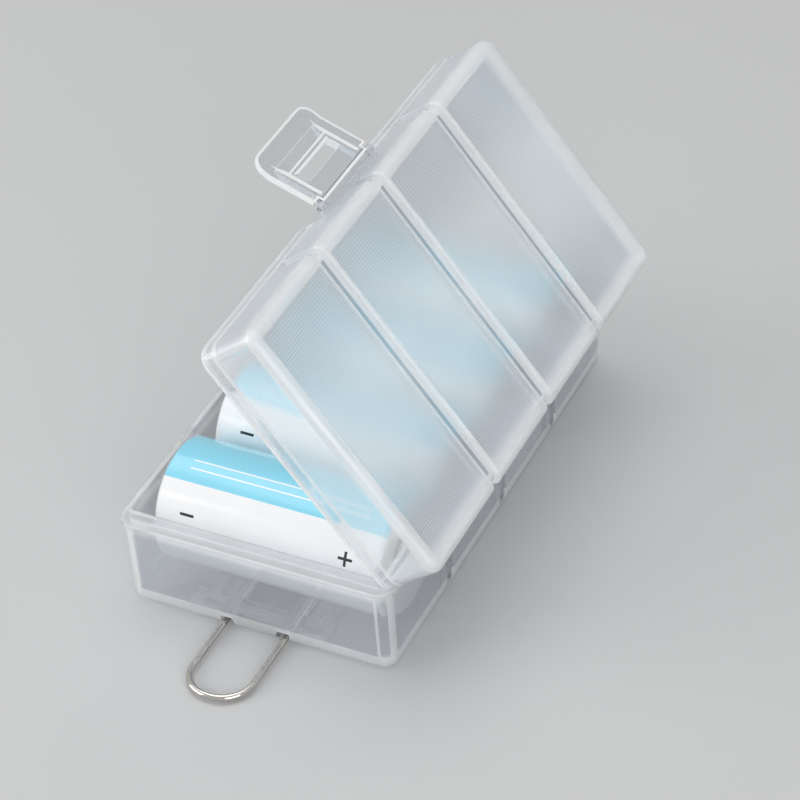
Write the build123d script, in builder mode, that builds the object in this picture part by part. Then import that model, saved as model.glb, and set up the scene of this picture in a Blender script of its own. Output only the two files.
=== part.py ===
from build123d import *
import os
from math import atan2, cos, degrees, radians, sin

# A battery storage box: a four-bay tray with a hinged lid, a latch clip, a hanging bail and four cells.
# Millimetres. X runs from the latch side to the hinge side, Y from the bail end to the rear, Z up.
# The origin is on the face that the tray stands on, under the middle of the box.
# The lid and the latch are drawn closed and then turned to the angle that they rest at.

# Shells
tray_height = 27.4  # standing face to parting face
lid_headroom = 7.1  # cells to the inside of the closed lid, at its grooves
lid_seat = 0.1  # gap at the parting face when closed
wall = 1.6
tray_proud = 0.6  # how far the rim band of the tray stands out of its walls
lid_proud = 0.3  # the same on the lid
tray_band = 1.0  # straight height of the rim band of the tray
lid_band = 3.9  # the same on the lid
rim_slope = 1.0  # height of the slope from a band back to the wall
lip_height = 2.4  # lip of the tray, above the parting face
lip_thickness = 1.2
lip_root = 1.4  # height in which the lip grows out of the wall, under the parting face
lip_gap = 0.2  # between the lip and the inside of the closed lid
tray_draft = 0.3  # how far a tray wall leans in between parting face and floor
corner_radius = 4.0  # upright corners, outside
tray_edge_radius = 2.2  # edge round the underside
lid_edge_radius = 2.8  # edge round the lid top
overrun = 2.0  # how far a cutter passes the face that it cuts

# Bays and the grooves between them
bay_count = 4
bay_spare = 1.3  # how much longer a bay is than the cell in it
groove_width = 3.4
groove_depth = 1.2
groove_round = 0.6  # rounding where a bay drops into a groove
edge_touch = 0.01  # how near to a plane an edge counts as lying on it

# Tray floor
rail_width = 3.5
rail_spacing = 32.5  # between the middles of the two rails
rail_height = 4.0  # top of the rails above the standing face

# Hanging bail and the channel that it folds into
wire_radius = 0.9
bail_middle = -1.1  # X of the middle of the bail, a little towards the latch side
bail_leg_spacing = 17.5  # between the two legs
bail_reach = 30.3  # pivot to the middle of the wire at the tip
bail_tip_radius = 8.2
bail_bend_radius = 1.6  # where a leg turns out into its pivot end
bail_end_length = 8.0  # leg to the end of the wire, along the pivot
bail_pivot_inset = 5.0  # outer wall face to pivot
bail_axis_height = 1.5
bail_fit = 0.05  # clearance of the wire in its holes
bail_room = 0.6  # free space round the moving wire
channel_depth = 3.0
channel_side = 1.0  # side walls of the channel
channel_round = 1.2  # rounding along the top of the channel
pivot_block_reach = 20.0  # middle of the bail to the outer end of a pivot block
pivot_block_depth = 3.4  # pivot to the rear face of a pivot block
notch_height = 3.3
notch_gap = 0.3  # between a leg and the outer side of its notch
notch_inner_top = 6.6  # middle of the bail to a notch, at its top
notch_inner_foot = 5.2  # the same at the standing face
stop_block_width = 12.4  # block behind the tab between the notches
stop_block_depth = 5.4  # outer wall face to its rear face

# Lid hinge
hinge_offset = 0.8  # rim band face to hinge axis
knuckle_radius = 1.9
hinge_pin_radius = 0.7
hinge_fit = 0.05  # clearance of a lid barrel on its pin
ear_fit = 0.02  # clearance of a pin in the tray ears
ear_width = 3.0
barrel_width = 8.0
knuckle_gap = 0.3  # between an ear and a barrel, and round a knuckle
gusset_height = 4.5
gusset_angle = 50.0  # where the gusset leaves the knuckle, below the horizontal
lid_rest_angle = 53.0  # how far the lid stands open

# Latch clip, its shelf on the lid and its hook on the tray
latch_width = 28.7
latch_length = 20.8  # pivot to tip
latch_thickness = 1.3
latch_corner = 4.0
latch_tip_length = 6.0  # part of the clip that bends out for the finger
latch_tip_lift = 1.4
latch_axis_height = 9.1  # above the rim of the lid
latch_reach = 2.6  # lid wall to latch pivot
latch_barrel_radius = 1.3
latch_pivot_radius = 0.6
latch_fit = 0.05
latch_gap = 0.25  # between the clip and its lugs
lug_width = 1.8
shelf_thickness = 1.4
window_width = 17.0
window_top = 6.2  # pivot to the near edge of the window
window_height = 3.5
catch_bar_height = 1.8
catch_bar_depth = 0.8
flange_spacing = 20.5  # between the middles of the two side flanges
flange_thickness = 1.2
flange_depth = 2.0
flange_start = 1.8  # pivot to the near end of a flange
flange_length = 15.0
flange_taper = 4.0  # end stretch in which a flange runs out
cutout_rim_width = 31.6
cutout_top_width = 26.0
cutout_height = 8.6
tongue_gap = 0.4  # between the tray tongue and the lid cut-out
hook_gap = 0.4  # between the hook and the window
hook_nose = 0.9  # upright part of the hook tip
hook_short = 0.3  # how far the hook stops inside the face of the clip
latch_rest_angle = 58.0  # how far the clip stands open

# Cells
cell_diameter = 32.2
sleeve_length = 64.3
sleeve_thickness = 0.15
sleeve_fold = 2.9  # how far the sleeve turns in over each end
sleeve_fit = 0.03
shoulder = 0.9  # bevel at each end of the sleeve
bevel_share = 2**0.5 - 1  # how far a bevel's corner moves as the skin under it gets thinner
can_wall = 0.35
crimp_inset = 0.25  # sleeve end to the crimp
crimp_lip = 2.0
bead_inset = 3.2  # crimp to the middle of the bead
bead_depth = 0.9
bead_half_width = 0.8
gasket_depth = 2.0
gasket_wall = 0.8
cap_thickness = 0.9
button_radius = 6.0
button_height = 1.2  # above the sleeve end
washer_thickness = 0.2
washer_bore_radius = 7.5
washer_margin = 0.3
roll_gap = 0.3  # between the electrode roll and the can
roll_bore_radius = 2.0
cell_gap = 0.65  # between neighbouring cells
rear_gap = 0.33  # last cell to the rear wall
front_gap = 4.42  # first cell to the front wall
latch_side_gap = 5.05  # sleeves to the wall on the latch side
hinge_side_gap = 2.95  # cap buttons to the wall on the hinge side
cell_lift = 0.2  # rails to the sleeve

# Worked out from the sizes above: the box is as wide and as long as its row of cells needs
row_length = bay_count * cell_diameter + (bay_count - 1) * cell_gap
tray_width = sleeve_length + button_height + latch_side_gap + hinge_side_gap + 2 * wall
tray_length = row_length + front_gap + rear_gap + 2 * wall
rim_width = tray_width + 2 * tray_proud
rim_length = tray_length + 2 * tray_proud
groove_pitch = cell_diameter + bay_spare
lid_width = rim_width - 2 * lid_proud
lid_length = rim_length - 2 * lid_proud
draft_angle = degrees(atan2(tray_draft, tray_height))
lid_base = tray_height + lid_seat
cell_radius = cell_diameter / 2
cell_z = rail_height + cell_lift + cell_radius
cell_start = -tray_width / 2 + wall + latch_side_gap  # X of the negative end of the sleeves
first_cell_y = -tray_length / 2 + wall + front_gap + cell_radius
lid_height = cell_z + cell_radius + lid_headroom + groove_depth + wall - lid_base
hinge_x = rim_width / 2 + hinge_offset
hinge_line = Axis((hinge_x, 0, tray_height), (0, 1, 0))
latch_x = -lid_width / 2 - latch_reach
latch_z = lid_base + latch_axis_height
latch_line = Axis((latch_x, 0, latch_z), (0, 1, 0))
pivot_y = -tray_length / 2 + bail_pivot_inset


def tray_form(side_inset, end_inset, floor_level, edge_radius):
    """Tapered tray block under the parting face, inset from the outer wall faces."""
    parting_face = Plane(origin=(0, 0, tray_height), x_dir=(1, 0, 0), z_dir=(0, 0, -1))
    with BuildPart() as form:
        with BuildSketch(parting_face):
            RectangleRounded(
                tray_width - 2 * side_inset,
                tray_length - 2 * end_inset,
                corner_radius - min(side_inset, end_inset),
            )
        extrude(amount=tray_height - floor_level, taper=draft_angle)
        fillet(form.edges().group_by(Axis.Z)[0], edge_radius)
    return form.part


def lid_form(side_inset, end_inset, top_inset, edge_radius):
    """Lid block above its rim, inset from the outer wall faces."""
    with BuildPart() as form:
        with BuildSketch(Plane.XY.offset(lid_base)):
            RectangleRounded(
                lid_width - 2 * side_inset,
                lid_length - 2 * end_inset,
                corner_radius - min(side_inset, end_inset),
            )
        extrude(amount=lid_height - top_inset)
        fillet(form.edges().group_by(Axis.Z)[-1], edge_radius)
    return form.part


def bay_spans(spacing):
    """Low and high Y of each bay, where neighbouring bays stand this far apart."""
    middles = [(n + 1 - bay_count / 2) * groove_pitch for n in range(bay_count - 1)]
    past_end = rim_length / 2 + overrun
    lows = [-past_end] + [y + spacing / 2 for y in middles]
    highs = [y - spacing / 2 for y in middles] + [past_end]
    return list(zip(lows, highs))


def bay_slice(form, low, high, open_level):
    """The stretch of a form that makes one bay, rounded where it drops into the grooves."""
    with BuildPart() as bay:
        add(form)
        with Locations((0, (low + high) / 2, tray_height)):
            Box(rim_width, high - low, 2 * (tray_height + lid_height), mode=Mode.INTERSECT)
        seams = ShapeList()
        for y in (low, high):
            on_cut = bay.edges().filter_by_position(Axis.Y, y - edge_touch, y + edge_touch)
            seams += [edge for edge in on_cut if abs(edge.center().Z - open_level) > edge_touch]
        fillet(seams, groove_round)
    return bay.part


def bayed(form, core, spacing, open_level):
    """Four bays standing out of a core, so that grooves run between them."""
    slices = [bay_slice(form, low, high, open_level) for low, high in bay_spans(spacing)]
    with BuildPart() as body:
        add(core)
        add(slices)
    return body.part


def rim_block(level, direction, proud, band):
    """Block of a rim band, straight at the parting face and then sloped back to the wall."""
    slope_angle = degrees(atan2(proud, rim_slope))
    rim_face = Plane(origin=(0, 0, level), x_dir=(1, 0, 0), z_dir=(0, 0, direction))
    with BuildPart() as block:
        with BuildSketch(rim_face):
            RectangleRounded(rim_width, rim_length, corner_radius + proud)
        extrude(amount=band)
        with BuildSketch(rim_face.offset(band)):
            RectangleRounded(rim_width, rim_length, corner_radius + proud)
        extrude(amount=rim_slope, taper=slope_angle)
    return block.part


def lip_outline(inset):
    """Outline of the lip, this far inside the face that it turns to the lid."""
    side = wall + lip_gap + inset
    return RectangleRounded(lid_width - 2 * side, lid_length - 2 * side, corner_radius - side)


def lip_ring():
    """Lip that stands up inside the closed lid, on a root that slopes out of the tray walls."""
    reach = lid_proud + wall + lip_gap + lip_thickness - tray_proud - wall
    parting_down = Plane(origin=(0, 0, tray_height), x_dir=(1, 0, 0), z_dir=(0, 0, -1))
    with BuildPart() as ring:
        with BuildSketch(parting_down):
            RectangleRounded(tray_width - wall, tray_length - wall, corner_radius - wall / 2)
        extrude(amount=lip_root)
        with BuildSketch(Plane.XY.offset(tray_height)):
            lip_outline(0)
        extrude(amount=lip_height)
        with BuildSketch(Plane.XY.offset(tray_height)):
            lip_outline(lip_thickness)
        extrude(amount=lip_height, mode=Mode.SUBTRACT)
        with BuildSketch(parting_down):
            lip_outline(lip_thickness)
        extrude(amount=lip_root, taper=-degrees(atan2(reach, lip_root)), mode=Mode.SUBTRACT)
    return ring.part


def across(y):
    """Plane across the box at this Y, with its x along +X and its y along +Z."""
    return Plane(origin=(0, y, 0), x_dir=(1, 0, 0), z_dir=(0, -1, 0))


def facing(x, y, z):
    """Plane through a point that faces +X, with its x along +Y and its y along +Z."""
    return Plane(origin=(x, y, z), x_dir=(0, 1, 0), z_dir=(1, 0, 0))


# Hinge stations sit at the middles of the two end bays
hinge_stations = [side * (bay_count - 1) / 2 * groove_pitch for side in (-1, 1)]
ear_offset = barrel_width / 2 + knuckle_gap + ear_width / 2
ear_places = [y + side * ear_offset for y in hinge_stations for side in (-1, 1)]
hinge_pin_length = barrel_width + 2 * (knuckle_gap + ear_width)


def knuckle(y, width, side, bore_radius):
    """A bored hinge knuckle with a gusset to the wall, below (-1) or above (1) the parting face."""
    foot_x = tray_width / 2 - wall / 2
    leave_x = hinge_x + knuckle_radius * cos(radians(gusset_angle))
    leave_z = tray_height + side * knuckle_radius * sin(radians(gusset_angle))
    level = tray_height if side < 0 else lid_base
    with BuildPart() as block:
        with BuildSketch(across(y)):
            with BuildLine():
                Polyline(
                    (foot_x, level),
                    (foot_x, tray_height + side * gusset_height),
                    (leave_x, leave_z),
                    (hinge_x, level),
                    close=True,
                )
            make_face()
            with Locations((hinge_x, tray_height)):
                Circle(knuckle_radius)
                Circle(bore_radius, mode=Mode.SUBTRACT)
        extrude(amount=width / 2, both=True)
    return block.part


def hinge_cutter(places, width):
    """Cylinders that give the other half's knuckles room to turn."""
    with BuildPart() as cutter:
        for y in places:
            with BuildSketch(across(y)):
                with Locations((hinge_x, tray_height)):
                    Circle(knuckle_radius + knuckle_gap)
            extrude(amount=width / 2 + knuckle_gap, both=True)
    return cutter.part


# Base tray

tray_outer = bayed(
    tray_form(0, 0, 0, tray_edge_radius),
    tray_form(groove_depth, groove_depth, 0, tray_edge_radius),
    groove_width,
    tray_height,
)
tray_hollow = bayed(
    tray_form(wall, wall, wall, tray_edge_radius - wall),
    tray_form(wall + groove_depth, wall + groove_depth, wall, tray_edge_radius - wall),
    groove_width + 2 * wall,
    tray_height,
)
tray_ears = [knuckle(y, ear_width, -1, hinge_pin_radius + ear_fit) for y in ear_places]
tray_hinge_cutter = hinge_cutter(hinge_stations, barrel_width)
floor_front = -tray_length / 2 + tray_draft + wall
front_inner = -tray_length / 2 + wall
wire_end = bail_leg_spacing / 2 + bail_end_length
wire_swing = wire_radius + bail_room
fold_tip = pivot_y + bail_reach
mouth_half = bail_leg_spacing / 2 + bail_bend_radius + bail_room
mouth_rear = pivot_y + bail_bend_radius + bail_room
notch_outer = bail_leg_spacing / 2 + wire_radius + notch_gap
tongue_height = cutout_height - tongue_gap
tongue_lean = (cutout_rim_width - cutout_top_width) / 2 / cutout_height
tongue_foot = cutout_rim_width / 2 - tongue_gap
tongue_top = tongue_foot - tongue_lean * tongue_height
hook_low = latch_z - window_top - window_height + hook_gap
hook_high = latch_z - window_top - hook_gap
hook_tip = latch_x - latch_barrel_radius + hook_short


def bail_track(spread, low, high, rounding):
    """U-shaped block along the folded bail, this far to each side of the middle of its wire."""
    with BuildPart() as track:
        with BuildSketch(Plane(origin=(bail_middle, 0, low))):
            with BuildLine():
                FilletPolyline(
                    (bail_leg_spacing / 2, floor_front),
                    (bail_leg_spacing / 2, fold_tip),
                    (-bail_leg_spacing / 2, fold_tip),
                    (-bail_leg_spacing / 2, floor_front),
                    radius=bail_tip_radius,
                )
            trace(line_width=2 * spread)
        extrude(amount=high - low)
        if rounding:
            fillet(track.edges().group_by(Axis.Z)[-1], rounding)
    return track.part


with BuildPart() as base_tray:
    add(tray_outer)
    add(rim_block(tray_height, -1, tray_proud, tray_band))
    add(tray_hollow, mode=Mode.SUBTRACT)
    add(lip_ring())
    # Two long rails that the cells lie on
    with BuildSketch(Plane.XY.offset(wall / 2)):
        with GridLocations(rail_spacing, 0, 2, 1):
            Rectangle(rail_width, 2 * -floor_front)
    extrude(amount=rail_height - wall / 2)
    # Channel for the folded bail, with a pivot block at each side of its mouth
    add(bail_track(wire_swing + channel_side, wall / 2, rail_height, channel_round))
    with BuildSketch(Plane.XY.offset(wall / 2)):
        with Locations((bail_middle, (floor_front + pivot_y + pivot_block_depth) / 2)):
            Rectangle(2 * pivot_block_reach, pivot_y + pivot_block_depth - floor_front)
    extrude(amount=rail_height - wall / 2)
    add(bail_track(wire_swing, -overrun, channel_depth, 0), mode=Mode.SUBTRACT)
    with BuildSketch():
        with Locations((bail_middle, (front_inner + mouth_rear) / 2)):
            Rectangle(2 * mouth_half, mouth_rear - front_inner)
    extrude(amount=channel_depth, mode=Mode.SUBTRACT)
    with BuildSketch():
        with Locations((bail_middle, front_inner - wall / 2 + stop_block_depth / 2)):
            Rectangle(stop_block_width, stop_block_depth - wall)
    extrude(amount=rail_height)
    # Notches in the foot of the front wall, where the wire legs pass
    with BuildSketch(Plane(origin=(bail_middle, front_inner, 0), x_dir=(1, 0, 0), z_dir=(0, -1, 0))):
        with BuildLine():
            Polyline(
                (notch_inner_foot, -overrun),
                (notch_inner_foot, 0),
                (notch_inner_top, notch_height),
                (notch_outer, notch_height),
                (notch_outer, -overrun),
                close=True,
            )
        make_face()
        mirror(about=Plane.YZ)
    extrude(amount=wall + overrun, mode=Mode.SUBTRACT)
    # Blind holes for the turned-out ends of the wire
    with BuildSketch(facing(bail_middle, pivot_y, bail_axis_height)):
        Circle(wire_radius + bail_fit)
    extrude(amount=wire_end + bail_room, both=True, mode=Mode.SUBTRACT)
    # Hinge ears
    add(tray_hinge_cutter, mode=Mode.SUBTRACT)
    add(tray_ears)
    # Tongue that fills the cut-out in the lid, and the hook that the clip snaps over
    with BuildSketch(facing(-tray_width / 2, 0, tray_height)):
        with BuildLine():
            Polyline(
                (-tongue_foot, -tray_band),
                (tongue_foot, -tray_band),
                (tongue_foot, 0),
                (tongue_top, tongue_height),
                (-tongue_top, tongue_height),
                (-tongue_foot, 0),
                close=True,
            )
        make_face()
    extrude(amount=wall)
    with BuildSketch(across(0)):
        with BuildLine():
            Polyline(
                (-tray_width / 2 + wall / 2, hook_low),
                (hook_tip, hook_low),
                (hook_tip, hook_low + hook_nose),
                (-tray_width / 2 + wall / 2, hook_high),
                close=True,
            )
        make_face()
    extrude(amount=window_width / 2 - hook_gap, both=True)
base_tray.part.label = "base_tray"

# Hinge pins, pressed into the tray ears

hinge_pins = []
for y in hinge_stations:
    with BuildPart() as hinge_pin:
        with BuildSketch(across(y)):
            with Locations((hinge_x, tray_height)):
                Circle(hinge_pin_radius)
        extrude(amount=hinge_pin_length / 2, both=True)
    hinge_pins.append(hinge_pin.part)

# Lid, drawn closed

lid_outer = bayed(
    lid_form(0, 0, 0, lid_edge_radius),
    lid_form(groove_depth, groove_depth, groove_depth, lid_edge_radius),
    groove_width,
    lid_base,
)
lid_hollow = bayed(
    lid_form(wall, wall, wall, lid_edge_radius - wall),
    lid_form(wall + groove_depth, wall + groove_depth, wall + groove_depth, lid_edge_radius - wall),
    groove_width + 2 * wall,
    lid_base,
)
lid_barrels = [knuckle(y, barrel_width, 1, hinge_pin_radius + hinge_fit) for y in hinge_stations]
lid_hinge_cutter = hinge_cutter(ear_places, ear_width)
shelf_root = -lid_width / 2 + groove_depth + wall / 4
lug_middle = (latch_width - lug_width) / 2

with BuildPart() as closed_lid:
    add(lid_outer)
    add(rim_block(lid_base, 1, lid_proud, lid_band))
    add(lid_hollow, mode=Mode.SUBTRACT)
    # Room for the lip of the tray
    with BuildSketch(Plane.XY.offset(lid_base)):
        lip_outline(-lip_gap)
    extrude(amount=lip_height - lid_seat + lip_gap, mode=Mode.SUBTRACT)
    add(lid_hinge_cutter, mode=Mode.SUBTRACT)
    add(lid_barrels)
    # Cut-out in the latch side, open at the rim
    with BuildSketch(facing(-rim_width / 2 - overrun, 0, lid_base)):
        with BuildLine():
            Polyline(
                (-cutout_rim_width / 2, -overrun),
                (cutout_rim_width / 2, -overrun),
                (cutout_rim_width / 2, 0),
                (cutout_top_width / 2, cutout_height),
                (-cutout_top_width / 2, cutout_height),
                (-cutout_rim_width / 2, 0),
                close=True,
            )
        make_face()
    extrude(amount=overrun + lid_proud + groove_depth + wall + overrun, mode=Mode.SUBTRACT)
    # Shelf over the cut-out, with a bored lug at each end
    with BuildSketch(across(0)):
        with BuildLine():
            shelf_edge = latch_x + latch_barrel_radius + latch_gap
            Polyline(
                (shelf_root, latch_z - shelf_thickness / 2),
                (shelf_root, latch_z + shelf_thickness / 2),
                (shelf_edge, latch_z + shelf_thickness / 2),
                (shelf_edge, latch_z - shelf_thickness / 2),
                close=True,
            )
        make_face()
    extrude(amount=latch_width / 2, both=True)
    for side in (-1, 1):
        with BuildSketch(across(side * lug_middle)):
            with Locations(((shelf_edge + latch_x) / 2, latch_z)):
                Rectangle(shelf_edge - latch_x, shelf_thickness)
            with Locations((latch_x, latch_z)):
                Circle(latch_barrel_radius)
                Circle(latch_pivot_radius + latch_fit, mode=Mode.SUBTRACT)
        extrude(amount=lug_width / 2, both=True)

with BuildPart() as lid_shell:
    add(closed_lid.part.rotate(hinge_line, lid_rest_angle))
lid_shell.part.label = "lid_shell"

# Latch clip, drawn closed: it hangs from its pivot in front of the latch side

clip_outer = latch_x - latch_barrel_radius
clip_inner = clip_outer + latch_thickness
clip_tip = latch_z - latch_length
clip_bend = clip_tip + latch_tip_length
clip_shoulder = latch_z - latch_barrel_radius - latch_gap
root_half = latch_width / 2 - lug_width - latch_gap
window_foot = latch_z - window_top - window_height

with BuildPart() as closed_latch:
    # Plate, bent out at its tip
    with BuildSketch(across(0)):
        with BuildLine():
            Polyline(
                (clip_outer, latch_z),
                (clip_inner, latch_z),
                (clip_inner, clip_bend),
                (clip_inner - latch_tip_lift, clip_tip),
                (clip_outer - latch_tip_lift, clip_tip),
                (clip_outer, clip_bend),
                close=True,
            )
        make_face()
    extrude(amount=latch_width / 2, both=True)
    # Outline of the plate: clear of the lugs at its root, round at its tip
    with BuildSketch(facing(latch_x, 0, 0)) as clip_outline:
        with Locations((0, (clip_shoulder + clip_tip) / 2)):
            Rectangle(latch_width, clip_shoulder - clip_tip)
        fillet(clip_outline.vertices().group_by(Axis.Y)[0], latch_corner)
        with Locations((0, (latch_z + window_foot) / 2)):
            Rectangle(2 * root_half, latch_z - window_foot)
    extrude(amount=latch_barrel_radius + latch_tip_lift + overrun, both=True, mode=Mode.INTERSECT)
    # Side flanges that run out towards the tip
    with BuildSketch(across(0)):
        with BuildLine():
            Polyline(
                (clip_outer, latch_z - flange_start),
                (clip_inner + flange_depth, latch_z - flange_start),
                (clip_inner + flange_depth, latch_z - flange_start - flange_length + flange_taper),
                (clip_outer, latch_z - flange_start - flange_length),
                close=True,
            )
        make_face()
    extrude(amount=(flange_spacing + flange_thickness) / 2, both=True)
    with BuildSketch(facing(clip_inner, 0, latch_z)):
        with Locations((0, -latch_length / 2)):
            Rectangle(flange_spacing - flange_thickness, latch_length)
    extrude(amount=flange_depth + overrun, mode=Mode.SUBTRACT)
    # Bar under the window that the hook holds, then the window itself
    with BuildSketch(across(0)):
        bar_x = clip_inner + catch_bar_depth / 2 - latch_thickness / 4
        with Locations((bar_x, window_foot - catch_bar_height / 2)):
            Rectangle(catch_bar_depth + latch_thickness / 2, catch_bar_height)
    extrude(amount=flange_spacing / 2, both=True)
    with BuildSketch(facing(latch_x, 0, 0)):
        with Locations((0, window_foot + window_height / 2)):
            Rectangle(window_width, window_height)
    extrude(amount=latch_barrel_radius + overrun, both=True, mode=Mode.SUBTRACT)
    # Root barrel with a pivot stub at each end
    with BuildSketch(across(0)):
        with Locations((latch_x, latch_z)):
            Circle(latch_barrel_radius)
    extrude(amount=root_half, both=True)
    with BuildSketch(across(0)):
        with Locations((latch_x, latch_z)):
            Circle(latch_pivot_radius)
    extrude(amount=latch_width / 2, both=True)

with BuildPart() as latch_clip:
    add(closed_latch.part.rotate(latch_line, latch_rest_angle).rotate(hinge_line, lid_rest_angle))
latch_clip.part.label = "latch_clip"

# Hanging bail: one wire, swung out in front of the tray

with BuildPart() as hanging_bail:
    with BuildLine(Plane(origin=(bail_middle, 0, bail_axis_height))) as wire_path:
        FilletPolyline(
            (wire_end, pivot_y),
            (bail_leg_spacing / 2, pivot_y),
            (bail_leg_spacing / 2, pivot_y - bail_reach),
            (-bail_leg_spacing / 2, pivot_y - bail_reach),
            (-bail_leg_spacing / 2, pivot_y),
            (-wire_end, pivot_y),
            radius=[bail_bend_radius, bail_tip_radius, bail_tip_radius, bail_bend_radius],
        )
    with BuildSketch(Plane(origin=(bail_middle + wire_end, pivot_y, bail_axis_height), z_dir=(-1, 0, 0))):
        Circle(wire_radius)
    sweep(path=wire_path.wire())
hanging_bail.part.label = "hanging_bail"


def turned(y, points):
    """A ring turned about a cell's axis from points given along the axis and out from it."""
    section = Plane(origin=(cell_start, y, cell_z), x_dir=(1, 0, 0), z_dir=(0, -1, 0))
    with BuildPart() as ring:
        with BuildSketch(section):
            with BuildLine():
                Polyline(*points, close=True)
            make_face()
        revolve(axis=Axis((cell_start, y, cell_z), (1, 0, 0)))
    return ring.part


# Cells: places along the row, counted from the bail end

cell_places = [first_cell_y + n * (cell_diameter + cell_gap) for n in range(bay_count)]

# Stations along a cell's axis, from the negative end of its sleeve
sleeve_bore = cell_radius - sleeve_thickness
can_radius = sleeve_bore - sleeve_fit
can_start = sleeve_thickness + sleeve_fit
sleeve_bevel = shoulder + bevel_share * sleeve_thickness - sleeve_thickness
can_bevel = shoulder + bevel_share * can_start - can_start
crimp_top = sleeve_length - sleeve_thickness - crimp_inset
bead_middle = crimp_top - bead_inset
can_bore = can_radius - can_wall
lip_bore = can_radius - crimp_lip
gasket_top = crimp_top - can_wall
gasket_foot = gasket_top - gasket_depth
cap_radius = can_bore - gasket_wall
cap_foot = gasket_top - gasket_depth / 2
cap_top = sleeve_length + button_height
washer_radius = can_radius - can_bevel - washer_margin
roll_end = bead_middle - bead_half_width - roll_gap


def cell_pieces(y):
    """The six pieces of one cell, by name."""
    can = turned(
        y,
        [
            (can_start, 0),
            (can_start, can_radius - can_bevel),
            (can_start + can_bevel, can_radius),
            (bead_middle - bead_half_width, can_radius),
            (bead_middle, can_radius - bead_depth),
            (bead_middle + bead_half_width, can_radius),
            (crimp_top - can_bevel, can_radius),
            (crimp_top, can_radius - can_bevel),
            (crimp_top, lip_bore),
            (gasket_top, lip_bore),
            (gasket_top, can_bore - can_bevel),
            (gasket_top - can_bevel, can_bore),
            (bead_middle + bead_half_width, can_bore),
            (bead_middle, can_bore - bead_depth),
            (bead_middle - bead_half_width, can_bore),
            (can_start + can_wall + can_bevel, can_bore),
            (can_start + can_wall, can_bore - can_bevel),
            (can_start + can_wall, 0),
        ],
    )
    roll = turned(
        y,
        [
            (can_start + can_wall, roll_bore_radius),
            (can_start + can_wall, can_bore - roll_gap - can_bevel),
            (can_start + can_wall + can_bevel, can_bore - roll_gap),
            (roll_end, can_bore - roll_gap),
            (roll_end, roll_bore_radius),
        ],
    )
    gasket = turned(
        y,
        [
            (gasket_foot, cap_radius - gasket_wall),
            (gasket_foot, can_bore),
            (gasket_top - can_bevel, can_bore),
            (gasket_top, can_bore - can_bevel),
            (gasket_top, cap_radius),
            (cap_foot, cap_radius),
            (cap_foot, cap_radius - gasket_wall),
        ],
    )
    cap = turned(
        y,
        [
            (cap_foot, 0),
            (cap_foot, cap_radius),
            (cap_foot + cap_thickness, cap_radius),
            (cap_foot + cap_thickness, button_radius),
            (cap_top, button_radius),
            (cap_top, 0),
        ],
    )
    washer = turned(
        y,
        [
            (crimp_top, washer_bore_radius),
            (crimp_top, washer_radius),
            (crimp_top + washer_thickness, washer_radius),
            (crimp_top + washer_thickness, washer_bore_radius),
        ],
    )
    sleeve = turned(
        y,
        [
            (0, cell_radius - sleeve_fold),
            (0, cell_radius - shoulder),
            (shoulder, cell_radius),
            (sleeve_length - shoulder, cell_radius),
            (sleeve_length, cell_radius - shoulder),
            (sleeve_length, cell_radius - sleeve_fold),
            (sleeve_length - sleeve_thickness, cell_radius - sleeve_fold),
            (sleeve_length - sleeve_thickness, sleeve_bore - sleeve_bevel),
            (sleeve_length - sleeve_thickness - sleeve_bevel, sleeve_bore),
            (sleeve_thickness + sleeve_bevel, sleeve_bore),
            (sleeve_thickness, sleeve_bore - sleeve_bevel),
            (sleeve_thickness, cell_radius - sleeve_fold),
        ],
    )
    return {
        "can": can,
        "electrode_roll": roll,
        "gasket": gasket,
        "cap": cap,
        "washer": washer,
        "sleeve": sleeve,
    }


os.makedirs("parts", exist_ok=True)
export_step(base_tray.part, "parts/base_tray.step")
export_step(lid_shell.part, "parts/lid_shell.step")
export_step(latch_clip.part, "parts/latch_clip.step")
export_step(hanging_bail.part, "parts/hanging_bail.step")
for end, pin in zip(("front", "rear"), hinge_pins):
    pin.label = f"hinge_pin_{end}"
    export_step(pin, f"parts/hinge_pin_{end}.step")
for number, y in enumerate(cell_places, start=1):
    for name, piece in cell_pieces(y).items():
        piece.label = f"cell_{number}_{name}"
        export_step(piece, f"parts/cell_{number}_{name}.step")
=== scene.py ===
import logging
import math
from collections.abc import Callable, Iterator
from contextlib import contextmanager
from dataclasses import dataclass
from enum import Enum
from functools import cache, cached_property, partial, reduce

import bpy
from mathutils import Matrix, Vector


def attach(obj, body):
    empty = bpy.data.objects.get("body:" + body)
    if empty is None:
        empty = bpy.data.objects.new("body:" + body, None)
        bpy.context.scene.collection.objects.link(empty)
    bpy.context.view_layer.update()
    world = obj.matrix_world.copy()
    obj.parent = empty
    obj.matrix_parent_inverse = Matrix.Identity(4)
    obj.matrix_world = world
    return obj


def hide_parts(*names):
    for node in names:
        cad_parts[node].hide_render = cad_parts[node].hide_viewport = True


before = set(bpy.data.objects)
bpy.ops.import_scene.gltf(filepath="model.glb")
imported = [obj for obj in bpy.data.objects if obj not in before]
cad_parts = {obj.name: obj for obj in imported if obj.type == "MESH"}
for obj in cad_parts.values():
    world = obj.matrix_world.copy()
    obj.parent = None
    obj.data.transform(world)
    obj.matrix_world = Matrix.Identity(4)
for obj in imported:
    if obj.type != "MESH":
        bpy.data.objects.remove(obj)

log = logging.getLogger("storage_box")
MM = 0.001
ACROSS = Vector((1.0, 0.0, 0.0))
ALONG = Vector((0.0, 1.0, 0.0))
UP = Vector((0.0, 0.0, 1.0))
ZERO = (0.0, 0.0, 0.0)
ONE = (1.0, 1.0, 1.0)

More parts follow.
